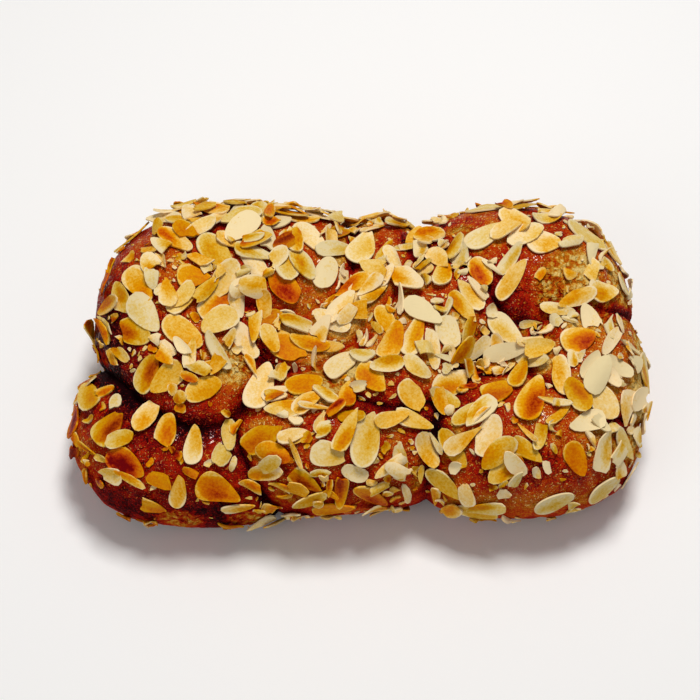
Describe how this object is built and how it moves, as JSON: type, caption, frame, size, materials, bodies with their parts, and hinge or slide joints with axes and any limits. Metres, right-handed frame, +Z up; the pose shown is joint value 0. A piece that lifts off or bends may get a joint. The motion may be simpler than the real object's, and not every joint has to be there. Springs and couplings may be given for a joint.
{
  "type": "almond babka",
  "caption": "Short fat loaf of twisted sweet dough, egg-washed and covered with flaked almonds, with a flat base to rest on.",
  "frame": {"origin": "on the resting plane, under the middle of the whole loaf with its flakes", "axes": "+X along the loaf, +Y across it towards its rear side, +Z up"},
  "size_m": [0.2746, 0.1598, 0.0847],
  "materials": {
    "crust": "baked sweet dough with a satin egg-wash glaze, red-brown on the crowns, straw yellow where it burst and dark in the creases",
    "almond_pale": "dry sliced almond, barely toasted, cream with a buff rim",
    "almond_golden": "dry sliced almond, toasted golden, darker in the middle",
    "almond_toasted": "dry sliced almond, well toasted, brown in the middle with a paler rim"
  },
  "bodies": {
    "root": {"loaf": "crust", "flake_01": "almond_golden", "flake_02": "almond_golden", "flake_03": "almond_golden", "flake_04": "almond_golden", "flake_05": "almond_toasted", "flake_06": "almond_toasted", "flake_07": "almond_golden", "flake_08": "almond_golden", "flake_09": "almond_pale", "flake_10": "almond_pale", "flake_11": "almond_golden", "flake_12": "almond_golden", "flake_13": "almond_pale", "flake_14": "almond_pale", "flake_15": "almond_pale", "flake_16": "almond_golden", "flake_17": "almond_pale", "flake_18": "almond_pale", "flake_19": "almond_toasted", "flake_20": "almond_toasted", "flake_21": "almond_pale", "flake_22": "almond_golden", "flake_23": "almond_pale", "flake_24": "almond_golden", "flake_25": "almond_golden", "flake_26": "almond_golden", "flake_27": "almond_pale", "flake_28": "almond_pale", "flake_29": "almond_pale", "flake_30": "almond_pale", "flake_31": "almond_pale", "flake_32": "almond_pale", "flake_33": "almond_golden", "flake_34": "almond_pale", "flake_35": "almond_pale", "flake_36": "almond_pale", "flake_37": "almond_golden", "flake_38": "almond_golden", "flake_39": "almond_golden", "flake_40": "almond_golden", "flake_41": "almond_toasted", "flake_42": "almond_golden", "flake_43": "almond_pale", "flake_44": "almond_golden", "flake_45": "almond_toasted", "flake_46": "almond_toasted", "flake_47": "almond_pale", "flake_48": "almond_pale", "flake_49": "almond_toasted", "flake_50": "almond_pale", "flake_51": "almond_golden", "flake_52": "almond_toasted", "flake_53": "almond_pale", "flake_54": "almond_golden", "flake_55": "almond_toasted", "flake_56": "almond_golden", "flake_57": "almond_golden", "flake_58": "almond_pale", "flake_59": "almond_pale"}
  },
  "joints": []
}
